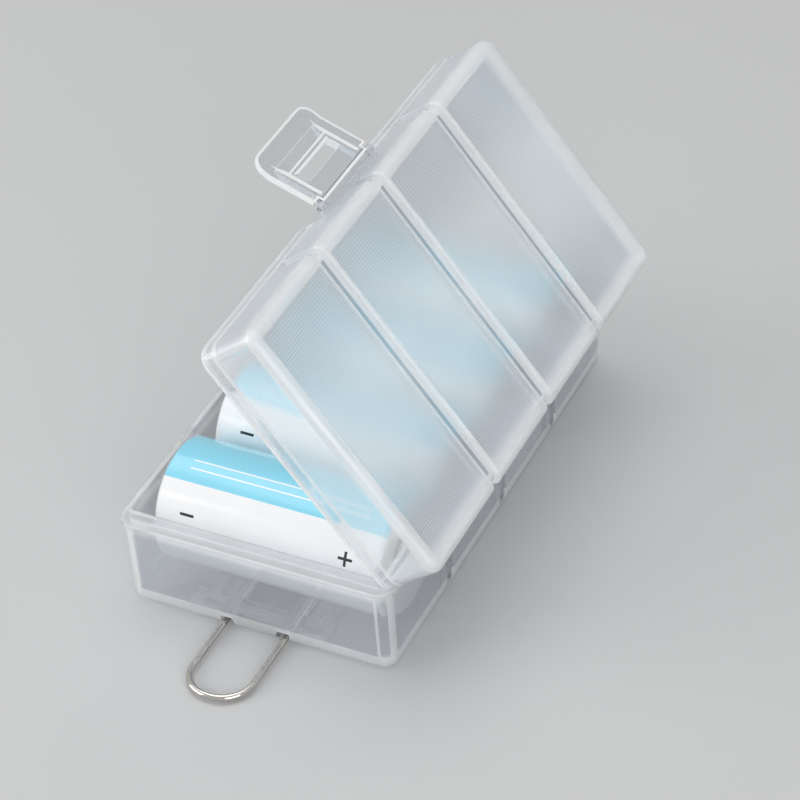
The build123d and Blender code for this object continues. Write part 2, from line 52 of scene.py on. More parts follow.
Colour = tuple[float, float, float]
Point = tuple[float, float, float]
Span = tuple[float, float]
Plane = tuple[Vector, Vector]
Socket = bpy.types.NodeSocket
Inputs = dict[str | int, object]
Outputs = bpy.types.bpy_prop_collection
Node = bpy.types.Node
Tree = bpy.types.NodeTree
Material = bpy.types.Material


class Slot(Enum):
    """Material slots of the part's record."""

    FROSTED = "frosted"
    CLEAR = "clear"
    BRIGHT_WIRE = "bright_wire"
    PIN_STEEL = "pin_steel"
    SLEEVE = "sleeve"
    CELL_STEEL = "cell_steel"


class Pick(Enum):
    """What an edit tool picks: points, edges or faces."""

    POINTS = (True, False, False)
    EDGES = (False, True, False)
    FACES = (False, False, True)


class TrayPart(Enum):
    """The kinds of surface on the tray, in the order of its materials."""

    WALL = 0
    # Rim, foot, some upright corners and the channel's edges, painted pale as highlights.
    BORDER = 1
    LIP = 2


class LidPart(Enum):
    """The kinds of surface on the lid, in the order of its materials."""

    WALL = 0
    END = 1
    # Edge roundings, the rim's lower edge and the grooves' faces, painted pale as highlights.
    BORDER = 2
    PANEL = 3
    # A dark line painted as the shade on the near wall of each groove.
    LINE = 4
    RIM = 5


class ClipPart(Enum):
    """The kinds of surface on the latch clip, in the order of its materials."""

    PLATE = 0
    # Outline, cut edges, flanges and catch bar, painted near white as highlights.
    EDGE = 1


class Graph:
    """A node tree with short ways to add and join its nodes."""

    def __init__(self, tree: Tree) -> None:
        """Takes the tree that the nodes go into."""
        self.tree = tree

    def feed(self, node: Node, values: Inputs) -> None:
        """Sets or joins inputs of a node.

        Args:
            node: the node.
            values: sockets, numbers or tuples, by the names or numbers of the inputs.
        """
        for name, value in values.items():
            if isinstance(value, Socket):
                self.tree.links.new(value, node.inputs[name])
            else:
                node.inputs[name].default_value = value

    def add(self, kind: str, values: Inputs | None = None, **settings: object) -> Node:
        """Adds a node.

        Args:
            kind: Blender's name of the node type.
            values: its inputs.
            settings: properties to set on it.

        Returns:
            The new node.
        """
        node = self.tree.nodes.new(kind)
        for name, value in settings.items():
            setattr(node, name, value)
        self.feed(node, values or {})
        return node

    def math(self, operation: str, *values: object) -> Socket:
        """Adds a Math node and gives its result."""
        inputs = dict(enumerate(values))
        return self.add("ShaderNodeMath", inputs, operation=operation).outputs[0]

    def ramp(self, value: Socket, low: float, high: float) -> Socket:
        """Adds a smooth step.

        Args:
            value: what is compared.
            low: where the step is 0.
            high: where it is 1; it may be below low.

        Returns:
            The step, from 0 to 1.
        """
        values = {
            "Value": value,
            "From Min": min(low, high),
            "From Max": max(low, high),
            "To Min": float(high < low),
            "To Max": float(low <= high),
        }
        node = self.add("ShaderNodeMapRange", values, interpolation_type="SMOOTHSTEP", clamp=True)
        return node.outputs["Result"]

    def off(self, value: Socket, middle: float) -> Socket:
        """How far a value is from a middle one."""
        return self.math("ABSOLUTE", self.math("SUBTRACT", value, middle))

    def stripe(self, value: Socket, middle: float, half: float, blur: float) -> Socket:
        """1 in a stripe of this half width and 0 outside, with edges blurred both ways."""
        return self.ramp(self.off(value, middle), half + blur, half - blur)

    def between(self, value: Socket, first: float, last: float, blur: float) -> Socket:
        """1 from the first value to the last and 0 outside, with each edge blurred upwards."""
        start = self.ramp(value, first, first + blur)
        return self.math("MULTIPLY", start, self.ramp(value, last + blur, last))

    def mix(self, share: object, first: object, second: object, blend: str = "MIX") -> Socket:
        """Mixes two colours.

        Args:
            share: how much of the second there is.
            first: a colour or a socket.
            second: a colour or a socket.
            blend: Blender's name of the way to mix them.

        Returns:
            The mixed colour.
        """
        node = self.add("ShaderNodeMix", {"Factor": share}, data_type="RGBA", blend_type=blend)
        targets = [n for n, socket in enumerate(node.inputs) if socket.type == "RGBA"]
        colours = (c if isinstance(c, Socket) else (*c, 1.0) for c in (first, second))
        self.feed(node, dict(zip(targets, colours)))
        return next(socket for socket in node.outputs if socket.type == "RGBA")

    def tint(self, colour: object, tone: Socket) -> Socket:
        """Darkens or lightens a colour; a tone of a half leaves it as it is."""
        return self.mix(1.0, colour, self.math("ADD", tone, 0.5), "MULTIPLY")

    def noise(self, vector: Socket, scale: object, detail: float = 2.0) -> Socket:
        """Adds a noise texture of about 0 to 1, with its scale per metre."""
        values = {"Vector": vector, "Scale": scale, "Detail": detail}
        return self.add("ShaderNodeTexNoise", values, noise_dimensions="3D").outputs["Fac"]

    def place(self, origin: Point = ZERO, turn: Point = ZERO, stretch: Point = ONE) -> Socket:
        """Object coordinates in a frame of their own.

        Args:
            origin: the frame's origin, in metres.
            turn: the frame's rotation, in degrees.
            stretch: the frame's scale.

        Returns:
            The coordinates in that frame.
        """
        values = {
            "Vector": self.add("ShaderNodeTexCoord").outputs["Object"],
            "Location": origin,
            "Rotation": tuple(math.radians(a) for a in turn),
            "Scale": stretch,
        }
        return self.add("ShaderNodeMapping", values, vector_type="TEXTURE").outputs["Vector"]

    def split(self, vector: Socket) -> tuple[Socket, ...]:
        """The three parts of a vector."""
        return tuple(self.add("ShaderNodeSeparateXYZ", {0: vector}).outputs)

    def bump(self, height: Socket, depth: float, strength: float = 1.0) -> Socket:
        """Adds a bump, this deep where the height is 1, and gives the normal."""
        values = {"Strength": strength, "Distance": depth, "Height": height}
        return self.add("ShaderNodeBump", values).outputs["Normal"]

    def group(self, tree: Tree, **values: object) -> Outputs:
        """Places a node group with its inputs and gives its outputs."""
        inputs = {name.capitalize(): value for name, value in values.items()}
        return self.add("ShaderNodeGroup", inputs, node_tree=tree).outputs

    def choose(self, share: Socket, first: Socket, second: Socket) -> Socket:
        """Mixes two shaders, with this share of the second."""
        return self.add("ShaderNodeMixShader", {0: share, 1: first, 2: second}).outputs[0]

    def let_lamps_through(self, surface: Socket, shade: Colour) -> Socket:
        """Lets lamps' light pass a see-through surface, in this shade."""
        clear = self.add("ShaderNodeBsdfTransparent", {"Color": (*shade, 1.0)}).outputs[0]
        return self.choose(self.add("ShaderNodeLightPath").outputs["Is Shadow Ray"], surface, clear)


class Effects:
    """Node groups that several finishes share, each built once."""

    CLOUD_DETAIL = 3.0
    RIPPLE_RATIO = 14.0
    LEAST_ROUGHNESS = 0.02
    MARK_DETAIL = 4.0
    MARK_STEP = (0.60, 0.68)
    PATCH_RATIO = 0.12
    PATCH_DETAIL = 1.0
    PATCH_STEP = (0.48, 0.66)

    @staticmethod
    def _group(name: str, inputs: str, outputs: str) -> tuple[Graph, Outputs, Node]:
        """Starts a group.

        Args:
            name: the group's name.
            inputs: the names of the inputs, all numbers but the vector.
            outputs: the names of the outputs.

        Returns:
            Its graph, its inputs by name, and its output node.
        """
        graph = Graph(bpy.data.node_groups.new(name, "ShaderNodeTree"))
        for side, keys in (("INPUT", inputs), ("OUTPUT", outputs)):
            for key in keys.split():
                kind = "NodeSocketVector" if key == "Vector" else "NodeSocketFloat"
                graph.tree.interface.new_socket(name=key, in_out=side, socket_type=kind)
        return graph, graph.add("NodeGroupInput").outputs, graph.add("NodeGroupOutput")

    @classmethod
    @cache
    def grain(cls) -> Tree:
        """Cloudy tone, uneven gloss and a fine ripple, as on moulded plastic and film.

        Returns:
            The group.
        """
        graph, given, leave = cls._group(
            "moulded_grain", "Vector Scale Tone Roughness Spread", "Tone Roughness Height"
        )
        cloud = graph.noise(given["Vector"], given["Scale"], cls.CLOUD_DETAIL)
        fine_scale = graph.math("MULTIPLY", given["Scale"], cls.RIPPLE_RATIO)
        fine = graph.noise(given["Vector"], fine_scale)
        tone, gloss = (graph.math("SUBTRACT", noise, 0.5) for noise in (cloud, fine))
        gloss = graph.math("MULTIPLY_ADD", gloss, given["Spread"], given["Roughness"])
        gloss = graph.math("MAXIMUM", gloss, cls.LEAST_ROUGHNESS)
        tone = graph.math("MULTIPLY_ADD", tone, given["Tone"], 0.5)
        graph.feed(leave, {"Tone": tone, "Roughness": gloss, "Height": fine})
        return graph.tree

    @classmethod
    @cache
    def scuffs(cls) -> Tree:
        """Sparse hairline marks from handling.

        Returns:
            The group.
        """
        graph, given, leave = cls._group("hairline_scuffs", "Vector Scale Amount", "Mask")
        streak = graph.noise(given["Vector"], given["Scale"], cls.MARK_DETAIL)
        patch_scale = graph.math("MULTIPLY", given["Scale"], cls.PATCH_RATIO)
        patch = graph.noise(given["Vector"], patch_scale, cls.PATCH_DETAIL)
        lines = graph.ramp(streak, *cls.MARK_STEP)
        shown = graph.math("MULTIPLY", lines, graph.ramp(patch, *cls.PATCH_STEP))
        graph.feed(leave, {"Mask": graph.math("MULTIPLY", shown, given["Amount"])})
        return graph.tree


@dataclass(frozen=True)
class Finish:
    """What every finish has; by itself it is matt paint with a faint cloud.

    Attributes:
        name: the material's name.
        colour: its colour.
        roughness: its roughness.
        transmission: how much light goes through.
        ior: its index of refraction.
        grain_scale: scale of its grain, per metre.
        grain_tone: how strong the grain is.
        grain_spread: how much the grain varies the roughness.
        ripple: depth of its fine ripple.
        cloud_shade: how dark the cloud of the paint is, as a share.
        cloud_scale: scale of that cloud, per metre.
    """

    name: str
    colour: Colour
    roughness: float
    transmission: float = 0.0
    ior: float = 1.49
    grain_scale: float = 70.0
    grain_tone: float = 0.10
    grain_spread: float = 0.10
    ripple: float = 0.0024 * MM
    cloud_shade: float = 0.985
    cloud_scale: float = 3.0

    def material(self) -> Material:
        """Builds the material, which lets lamps through if it is see-through.

        Returns:
            The material.
        """
        material = bpy.data.materials.new(self.name)
        material.use_nodes = True
        graph = Graph(material.node_tree)
        graph.tree.nodes.clear()
        shader = graph.add("ShaderNodeBsdfPrincipled")
        surface = shader.outputs[0]
        if self.transmission:
            graph.feed(shader, {"Transmission Weight": self.transmission, "IOR": self.ior})
            surface = graph.let_lamps_through(surface, self.shade(math.sqrt(self.transmission)))
        graph.add("ShaderNodeOutputMaterial", {"Surface": surface})
        graph.feed(shader, self.look(graph))
        return material

    def shade(self, share: float) -> Colour:
        """A darker shade of the colour."""
        return tuple(c * share for c in self.colour)

    def look(self, graph: Graph) -> Inputs:
        """The colour and roughness of paint.

        Args:
            graph: the material's graph.

        Returns:
            The shader's inputs.
        """
        cloud = graph.noise(graph.place(), self.cloud_scale)
        colour = graph.mix(cloud, self.shade(self.cloud_shade), self.colour)
        return {"Base Color": colour, "Roughness": self.roughness}

    def grain(self, graph: Graph, vector: Socket) -> Outputs:
        """Places the grain.

        Args:
            graph: the material's graph.
            vector: where it is read.

        Returns:
            Its tone, roughness and height.
        """
        return graph.group(
            Effects.grain(),
            vector=vector,
            scale=self.grain_scale,
            tone=self.grain_tone,
            roughness=self.roughness,
            spread=self.grain_spread,
        )


@dataclass(frozen=True)
class PanelGrid:
    """The grid of tiny bumps on the lid's panels, measured from the hinge.

    Attributes:
        columns: first and last bump of each panel, from the first that clears the groove before it.
        groove_edge: from the middle of a groove to the first bump behind it.
        level: lowest height of the panels' face.
        dip_shade_colour: painted shade between the bumps, near the sides of a panel.
        middle_shade_colour: the same painted shade, lighter in the middle of a panel, where light
            from the cell behind comes through.
        fade: where the painted shade begins to darken and ends, as shares of half a panel from its
            middle.
    """

    depth: float = 0.16 * MM
    groove_pitch: float = 33.5 * MM
    bumps_per_groove: int = 40
    rows: int = 83
    columns: tuple[tuple[int, int], ...] = ((-3, 33), (0, 33), (0, 33), (0, 32))
    hinge_edge: float = -5.4 * MM
    groove_edge: float = 2.9 * MM
    level: float = 18.4 * MM
    colour: Colour = (0.91, 0.925, 0.94)
    dip_shade_colour: Colour = (0.55, 0.60, 0.65)
    middle_shade_colour: Colour = (0.78, 0.82, 0.845)
    fade: Span = (0.15, 0.85)
    edge_colour: Colour = (0.92, 0.925, 0.93)
    edge_fade: float = 3.6 * MM

    @property
    def pitch(self) -> float:
        """Distance between bumps."""
        return self.groove_pitch / self.bumps_per_groove

    @property
    def side_range(self) -> Span:
        """Lowest and highest x of the panels, from the hinge."""
        return self.hinge_edge - self.rows * self.pitch, self.hinge_edge

    @property
    def panels(self) -> list[Span]:
        """Lowest and highest y of each panel, from the middle."""
        starts = [(n - 2) * self.groove_pitch + self.groove_edge for n in range(len(self.columns))]
        ends = zip(starts, self.columns)
        return [(start + a * self.pitch, start + b * self.pitch) for start, (a, b) in ends]

    def _height(self, graph: Graph, x: Socket, y: Socket) -> Socket:
        """Rows of small domes.

        Args:
            graph: the material's graph.
            x: place across the lid.
            y: place along the lid.

        Returns:
            The height, from 0 to 1.
        """
        waves = []
        for place, start in ((x, self.side_range[0]), (y, self.panels[0][0])):
            run = graph.math("SUBTRACT", place, start)
            turns = graph.math("MULTIPLY", run, 2 * math.pi / self.pitch)
            waves.append(graph.math("MULTIPLY_ADD", graph.math("COSINE", turns), -0.5, 0.5))
        return graph.math("MULTIPLY", *waves)

    def shades(self, graph: Graph, x: Socket, y: Socket) -> Socket:
        """Colour of the bumps, with painted shade in the dips between them.

        Args:
            graph: the material's graph.
            x: place across the lid, from the hinge.
            y: place along the lid.

        Returns:
            The colour.
        """
        low, high = self.side_range
        half = (high - low) / 2
        # Painted shade in the dips: darkest near the sides of a panel, lighter in its middle where
        # light from the cell behind comes through.
        near_side = graph.ramp(graph.off(x, low + half), *(share * half for share in self.fade))
        dips = graph.mix(near_side, self.middle_shade_colour, self.dip_shade_colour)
        rear = self.panels[-1][1]
        hinge_side = graph.ramp(x, high - self.edge_fade, high)
        edge = graph.math("MAXIMUM", hinge_side, graph.ramp(y, rear - self.edge_fade, rear))
        inner = graph.mix(self._height(graph, x, y), dips, self.colour)
        return graph.mix(edge, inner, self.edge_colour)


@dataclass(frozen=True)
class FrostedFinish(Finish):
    """Cloudy moulded polypropylene.

    Attributes:
        origin: where the shell's own frame is, in metres.
        turn: how that frame is turned, in degrees.
        thick_colour: colour where it is thicker.
        whitens: heights between which it gets thicker, if it does.
        grid: the bumps on it, if it has them, coloured with painted shade between them.
    """

    origin: Point = ZERO
    turn: Point = ZERO
    thick_colour: Colour = (0.96, 0.97, 0.98)
    whitens: Span | None = None
    grid: PanelGrid | None = None

    def look(self, graph: Graph) -> Inputs:
        """The shader's colour, roughness and ripple.

        Args:
            graph: the material's graph.

        Returns:
            The shader's inputs.
        """
        own = graph.place(self.origin, self.turn)
        x, y, z = graph.split(own)
        grain = self.grain(graph, own)
        colour: object = self.colour
        if self.whitens:
            colour = graph.mix(graph.ramp(z, *self.whitens), colour, self.thick_colour)
        if self.grid:
            colour = self.grid.shades(graph, x, y)
        return {
            "Base Color": graph.tint(colour, grain["Tone"]),
            "Roughness": grain["Roughness"],
            "Normal": graph.bump(grain["Height"], self.ripple),
        }


@dataclass(frozen=True)
class GrainedFinish(Finish):
    """A plain material with a cloudy grain, and with hairline marks if it is worn.

    Attributes:
        second_colour: the other colour of the grain, if it isn't a shade of the first.
        second_shade: how dark that shade is, as a share.
        stretch: how the grain runs, as a scale along each axis.
        metallic: 1 for a metal.
        worn: how strong the handling marks are.
        wear_scale: their scale, per metre.
        wear_gloss: how much rougher they are.
    """

    second_colour: Colour | None = None
    second_shade: float = 1.0
    stretch: Point = ONE
    metallic: float = 0.0
    worn: float = 0.0
    wear_scale: float = 0.0
    wear_gloss: float = 0.0

    def look(self, graph: Graph) -> Inputs:
        """The shader's colour, roughness, metal and ripple.

        Args:
            graph: the material's graph.

        Returns:
            The shader's inputs.
        """
        own = graph.place(stretch=self.stretch)
        grain = self.grain(graph, own)
        gloss = grain["Roughness"]
        if self.worn:
            wear = {"scale": self.wear_scale, "amount": self.worn}
            marks = graph.group(Effects.scuffs(), vector=own, **wear)
            gloss = graph.math("MULTIPLY_ADD", marks["Mask"], self.wear_gloss, gloss)
        second = self.second_colour or self.shade(self.second_shade)
        return {
            "Base Color": graph.mix(grain["Tone"], second, self.colour),
            "Roughness": gloss,
            "Metallic": self.metallic,
            "Normal": graph.bump(grain["Height"], self.ripple),
        }


@dataclass(frozen=True)
class ClearFinish(GrainedFinish):
    """Clear moulded plastic, a little hazy."""

    grain_scale: float = 110.0
    grain_tone: float = 0.08
    grain_spread: float = 0.08
    ripple: float = 0.004 * MM
    second_shade: float = 0.94
    worn: float = 0.5
    wear_scale: float = 420.0
    wear_gloss: float = 0.3


@dataclass(frozen=True)
class MetalFinish(GrainedFinish):
    """Plated or plain steel."""

    grain_scale: float = 180.0
    grain_tone: float = 0.30
    ripple: float = 0.003 * MM
    second_shade: float = 0.86
    metallic: float = 1.0
    worn: float = 0.5
    wear_scale: float = 700.0
    wear_gloss: float = 0.25


@dataclass(frozen=True)
class SolidFinish(GrainedFinish):
    """An opaque, dull material such as card, gasket rubber or the coated foil of the roll."""

    grain_scale: float = 300.0
    grain_tone: float = 0.5
    grain_spread: float = 0.2
    ripple: float = 0.01 * MM


@dataclass(frozen=True)
class FilmFinish(Finish):
    """Printed shrink film on a cell: a coloured field with two thin lines, and white."""

    colour: Colour = (0.90, 0.905, 0.92)
    roughness: float = 0.17
    ior: float = 1.5
    grain_scale: float = 90.0
    grain_tone: float = 0.05
    grain_spread: float = 0.05
    origin: Point = ZERO
    length: float = 64.3 * MM
    radius: float = 16.1 * MM
    edge_angle: float = 122.0
    field_angle: float = 176.0
    field_blur: float = 0.25
    field_depths: Span = (1.0 * MM, 0.8 * MM)
    field_colour: Colour = (0.27, 0.70, 0.87)
    line_angles: Span = (14.0, 23.0)
    line_half: float = 0.75
    line_blur: float = 0.2
    line_start: float = 6.5 * MM
    line_end_blur: float = 0.2 * MM
    line_share: float = 0.9
    mark_angle: float = 30.0
    mark_inset: float = 9.5 * MM
    mark_half: float = 2.0 * MM
    mark_thin: float = 0.38 * MM
    mark_blur: float = 0.04 * MM
    ink_colour: Colour = (0.03, 0.03, 0.035)
    pucker_reach: float = 4.0 * MM
    pucker_stretch: Point = (4.0, 1.0, 1.0)
    pucker_scale: float = 420.0
    wave_scale: float = 45.0
    wave_share: float = 0.6
    fold_depth: float = 0.06 * MM
    fold_share: float = 0.6
    coat: float = 0.35
    coat_roughness: float = 0.08

    def _field(self, graph: Graph, back: Socket, y: Socket, z: Socket) -> Socket:
        """The coloured field.

        Args:
            graph: the material's graph.
            back: degrees back from the edge of the field.
            y: place across the cell.
            z: the other place across it.

        Returns:
            1 in the field and 0 outside.
        """
        printed = graph.between(back, 0.0, self.field_angle, self.field_blur)
        squares = graph.math("MULTIPLY_ADD", y, y, graph.math("MULTIPLY", z, z))
        levels = (self.radius - depth for depth in self.field_depths)
        barrel = graph.ramp(graph.math("SQRT", squares), *levels)
        return graph.math("MULTIPLY", printed, barrel)

    def _lines(self, graph: Graph, back: Socket, x: Socket) -> Socket:
        """The two thin lines.

        Args:
            graph: the material's graph.
            back: degrees back from the edge of the field.
            x: place along the cell.

        Returns:
            How much of the field they cover.
        """
        half, blur = self.line_half, self.line_blur
        lines = [graph.stripe(back, angle, half, blur) for angle in self.line_angles]
        first, last = self.line_start, self.length - self.line_start
        along = graph.between(x, first, last, self.line_end_blur)
        shown = graph.math("MULTIPLY", graph.math("MAXIMUM", *lines), along)
        return graph.math("MULTIPLY", shown, self.line_share)

    def _marks(self, graph: Graph, angle: Socket, x: Socket) -> Socket:
        """A minus and a plus, one at each end.

        Args:
            graph: the material's graph.
            angle: degrees on from the edge of the field.
            x: place along the cell.

        Returns:
            1 in the ink and 0 outside.
        """
        arc = self.radius * math.radians(1.0)
        around = graph.math("MULTIPLY", angle, arc)
        long, thin, blur = self.mark_half, self.mark_thin, self.mark_blur
        minus, plus = self.mark_inset, self.length - self.mark_inset
        marks = []
        for place, high, wide in ((minus, thin, long), (plus, long, thin), (plus, thin, long)):
            upright = graph.stripe(around, self.mark_angle * arc, high, blur)
            marks.append(graph.math("MULTIPLY", upright, graph.stripe(x, place, wide, blur)))
        return reduce(partial(graph.math, "MAXIMUM"), marks)

    def _folds(self, graph: Graph, own: Socket, x: Socket) -> Socket:
        """Small folds near the ends, and slow waves.

        Args:
            graph: the material's graph.
            own: place in the cell's own frame.
            x: place along the cell.

        Returns:
            The normal.
        """
        half = self.length / 2
        near_end = graph.ramp(graph.off(x, half), half - self.pucker_reach, half)
        place = graph.place(self.origin, stretch=self.pucker_stretch)
        pucker = graph.noise(place, self.pucker_scale)
        wave = graph.noise(own, self.wave_scale, detail=1.0)
        wave = graph.math("MULTIPLY", wave, self.wave_share)
        height = graph.math("MULTIPLY_ADD", pucker, near_end, wave)
        return graph.bump(height, self.fold_depth, self.fold_share)

    def look(self, graph: Graph) -> Inputs:
        """The shader's print, gloss and folds.

        Args:
            graph: the material's graph.

        Returns:
            The shader's inputs.
        """
        own = graph.place(self.origin, (self.edge_angle, 0.0, 0.0))
        x, y, z = graph.split(own)
        angle = graph.math("DEGREES", graph.math("ARCTAN2", z, y))
        back = graph.math("FLOORED_MODULO", graph.math("MULTIPLY", angle, -1.0), 360.0)
        grain = self.grain(graph, own)
        colour = graph.mix(self._field(graph, back, y, z), self.colour, self.field_colour)
        colour = graph.mix(self._lines(graph, back, x), colour, self.colour)
        colour = graph.mix(self._marks(graph, angle, x), colour, self.ink_colour)
        return {
            "Base Color": graph.tint(colour, grain["Tone"]),
            "Roughness": grain["Roughness"],
            "Normal": self._folds(graph, own, x),
            "IOR": self.ior,
            "Coat Weight": self.coat,
            "Coat Roughness": self.coat_roughness,
        }


def coat(thing: bpy.types.Object, *materials: Material) -> None:
    """Gives an object its materials."""
    thing.data.materials.clear()
    for material in materials:
        thing.data.materials.append(material)


class Piece:
    """A copy of a CAD node, worked with Blender's own tools, that stands for the node."""

    MERGE_GAP = 0.002 * MM
    FLAT_ANGLE = 0.4
    FLAT_WEIGHT = 80

    def __init__(self, node: str, name: str) -> None:
        """Copies the node, with its triangles merged into whole faces.

        Args:
            node: the node's name.
            name: the piece's name.
        """
        self.node = node
        self.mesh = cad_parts[node].data.copy()
        self.mesh.name = name
        self.mesh.materials.clear()
        self.object = bpy.data.objects.new(name, self.mesh)
        bpy.context.scene.collection.objects.link(self.object)
        with self._open():
            bpy.ops.mesh.select_all(action="SELECT")
            bpy.ops.mesh.customdata_custom_splitnormals_clear()
            bpy.ops.mesh.remove_doubles(threshold=self.MERGE_GAP)
            bpy.ops.mesh.dissolve_limited(angle_limit=math.radians(self.FLAT_ANGLE))

    def _alone(self) -> None:
        """Selects this piece alone and makes it active."""
        bpy.ops.object.select_all(action="DESELECT")
        self.object.hide_set(False)
        self.object.select_set(True)
        bpy.context.view_layer.objects.active = self.object

    @contextmanager
    def _open(self, pick: Pick | None = None) -> Iterator[None]:
        """Opens the mesh for edit tools.

        Args:
            pick: what the tools pick, where it matters.

        Yields:
            Nothing, while the mesh is open.
        """
        self._alone()
        if pick:
            bpy.context.tool_settings.mesh_select_mode = pick.value
        bpy.ops.object.mode_set(mode="EDIT")
        yield
        bpy.ops.object.mode_set(mode="OBJECT")

    def _clear(self) -> None:
        """Deselects all of the mesh."""
        for part in (self.mesh.vertices, self.mesh.edges, self.mesh.polygons):
            part.foreach_set("select", [False] * len(part))

    def _modify(self, name: str, kind: str, **settings: object) -> None:
        """Adds a modifier and applies it.

        Args:
            name: the modifier's name.
            kind: Blender's name of its type.
            settings: properties to set on it.
        """
        self._alone()
        modifier = self.object.modifiers.new(name, kind)
        for key, value in settings.items():
            setattr(modifier, key, value)
        bpy.ops.object.modifier_apply(modifier=modifier.name)

    def round_edges(self, width: float, angle: float = 38.0, segments: int = 2) -> None:
        """Rounds the sharp edges.

        Args:
            width: width of the rounding, in metres.
            angle: the least angle between faces that is rounded, in degrees.
            segments: steps in the rounding.
        """
        self._modify(
            "edge_rounding",
            "BEVEL",
            width=width,
            segments=segments,
            limit_method="ANGLE",
            angle_limit=math.radians(angle),
            use_clamp_overlap=True,
            miter_outer="MITER_ARC",
        )

    def smooth(self, angle: float = 32.0) -> None:
        """Smooths the shading, with flats kept flat and sharp edges sharp.

        Args:
            angle: the least angle between faces that stays sharp, in degrees.
        """
        self._alone()
        bpy.ops.object.shade_smooth_by_angle(angle=math.radians(angle))
        self._modify("flat_faces", "WEIGHTED_NORMAL", keep_sharp=True, weight=self.FLAT_WEIGHT)

    def cut(self, *planes: Plane) -> None:
        """Cuts the faces along planes, so that a finish can end there.

        Args:
            planes: a point and a direction for each plane.
        """
        with self._open():
            for point, direction in planes:
                bpy.ops.mesh.select_all(action="SELECT")
                bpy.ops.mesh.bisect(plane_co=point, plane_no=direction)

    def split(self, chooser: Callable[[Vector, Vector], bool], cuts: int) -> None:
        """Divides some of the edges, and the faces between them.

        Args:
            chooser: True for the two ends of an edge that is divided.
            cuts: new points on each edge.
        """
        self._clear()
        points = [vertex.co for vertex in self.mesh.vertices]
        for edge in self.mesh.edges:
            edge.select = chooser(*(points[n] for n in edge.vertices))
        with self._open(Pick.EDGES):
            bpy.ops.mesh.subdivide(number_cuts=cuts)

    def shift(self, chooser: Callable[[Vector], bool], step: Vector) -> None:
        """Moves some of the points.

        Args:
            chooser: True for a point that moves.
            step: how far.
        """
        self._clear()
        for vertex in self.mesh.vertices:
            vertex.select = chooser(vertex.co)
        with self._open(Pick.POINTS):
            bpy.ops.transform.translate(value=step)

    def band(
        self, chooser: Callable[[bpy.types.MeshPolygon], bool], width: float, kind: Enum
    ) -> None:
        """Sets a narrow band round the outline of some faces.

        Args:
            chooser: True for a face that is banded.
            width: width of the band, in metres.
            kind: the kind of surface that the band is.
        """
        for face in self.mesh.polygons:
            face.select = chooser(face)
        with self._open(Pick.FACES):
            bpy.ops.mesh.inset(
                thickness=width, use_boundary=True, use_even_offset=True, use_select_inset=True
            )
        for face in self.mesh.polygons:
            if face.select:
                face.material_index = kind.value

    def sort_faces(self, chooser: Callable[[Vector, Vector], Enum]) -> None:
        """Gives each face that still has the first material the one that it calls for.

        Args:
            chooser: gives the kind of surface for a face's centre and normal.
        """
        for face in self.mesh.polygons:
            if face.material_index == 0:
                face.material_index = chooser(face.center, face.normal).value

    def settle(self, body: str) -> None:
        """Ties the piece to its body and its node.

        Args:
            body: the CAD body that it moves with.
        """
        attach(self.object, body)
        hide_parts(self.node)
        log.info("%s rides on %s, %d faces", self.object.name, body, len(self.mesh.polygons))


